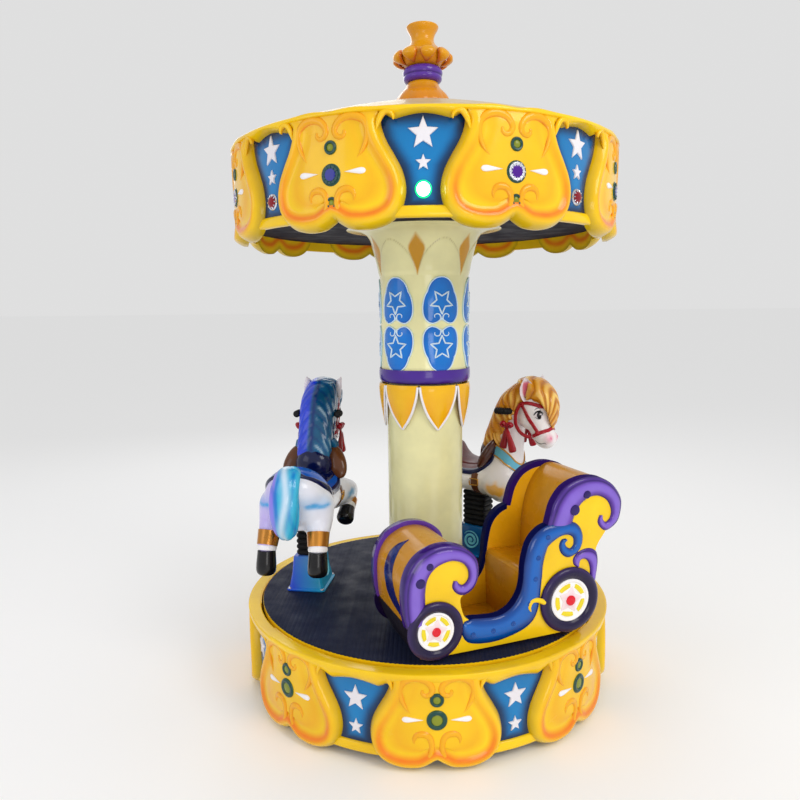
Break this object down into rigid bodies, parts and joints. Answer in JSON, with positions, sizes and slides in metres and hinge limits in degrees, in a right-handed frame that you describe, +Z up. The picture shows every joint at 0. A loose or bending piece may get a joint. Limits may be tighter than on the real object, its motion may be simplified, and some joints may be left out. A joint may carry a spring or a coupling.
{
  "type": "kiddie carousel",
  "caption": "Small round carousel for children: fixed moulded base, turning deck, column and canopy, two rising horses and a car seat.",
  "frame": {"origin": "centre of the base's underside on the floor, under the column", "axes": "+Z up along the column; -Y is the side seen in the picture, with the car to the front right"},
  "size_m": [1.197, 1.197, 2.1],
  "materials": {
    "yellow_gelcoat": "glossy yellow gelcoat over glass fibre, airbrushed orange in the relief",
    "cream_gelcoat": "glossy cream gelcoat over glass fibre",
    "ochre_gelcoat": "glossy ochre gelcoat over glass fibre",
    "white_gelcoat": "glossy white gelcoat with painted mane, saddle and bridle",
    "blue_gelcoat": "glossy blue and white gelcoat",
    "purple_gelcoat": "glossy purple gelcoat",
    "gold_paint": "glossy gold and orange paint",
    "tyre_paint": "glossy dark purple paint on a moulded wheel",
    "dark_paint": "satin dark paint",
    "mat_rubber": "navy ribbed anti-slip mat",
    "black_rubber": "black rubber",
    "steel": "bare turned steel",
    "lamp_lens": "faceted coloured plastic lens"
  },
  "bodies": {
    "base": {"base_plate": "dark_paint", "base_housing": "yellow_gelcoat", "slewing_bearing": "steel"},
    "turntable": {"deck": "yellow_gelcoat", "deck_mat": "mat_rubber", "column_tube": "cream_gelcoat", "column_petals": "yellow_gelcoat", "column_ring": "purple_gelcoat", "column_neck": "cream_gelcoat", "column_bell": "cream_gelcoat", "canopy_ceiling": "dark_paint", "canopy_skirt": "yellow_gelcoat", "canopy_dome": "cream_gelcoat", "canopy_lamp_1": "lamp_lens", "canopy_lamp_2": "lamp_lens", "canopy_lamp_3": "lamp_lens", "canopy_lamp_4": "lamp_lens", "canopy_lamp_5": "lamp_lens", "canopy_lamp_6": "lamp_lens", "canopy_lamp_7": "lamp_lens", "canopy_lamp_8": "lamp_lens", "finial_foot": "gold_paint", "finial_ring": "purple_gelcoat", "finial_cup": "gold_paint", "left_pedestal": "blue_gelcoat", "right_pedestal": "blue_gelcoat", "left_bellows": "black_rubber", "right_bellows": "black_rubber", "car_floor": "ochre_gelcoat", "car_side_outer": "yellow_gelcoat", "car_side_inner": "yellow_gelcoat", "car_hood": "ochre_gelcoat", "car_bench": "ochre_gelcoat", "car_seat_back": "ochre_gelcoat", "car_wheel_1": "tyre_paint", "car_wheel_2": "tyre_paint", "car_wheel_3": "tyre_paint", "car_wheel_4": "tyre_paint"},
    "left_horse": {"left_horse_body": "white_gelcoat", "left_handlebar": "black_rubber", "left_lift_post": "steel"},
    "right_horse": {"right_horse_body": "white_gelcoat", "right_handlebar": "black_rubber", "right_lift_post": "steel"}
  },
  "joints": [
    {"name": "turntable_spin", "type": "hinge", "parent": "base", "child": "turntable", "pos_m": [0, 0, 0], "axis": [0, 0, 1], "continuous": true},
    {"name": "left_horse_lift", "type": "slide", "parent": "turntable", "child": "left_horse", "axis": [0, 0, 1], "range_m": [-0.02, 0.05], "deforming": ["left_bellows"]},
    {"name": "right_horse_lift", "type": "slide", "parent": "turntable", "child": "right_horse", "axis": [0, 0, 1], "range_m": [-0.02, 0.05], "deforming": ["right_bellows"]}
  ]
}
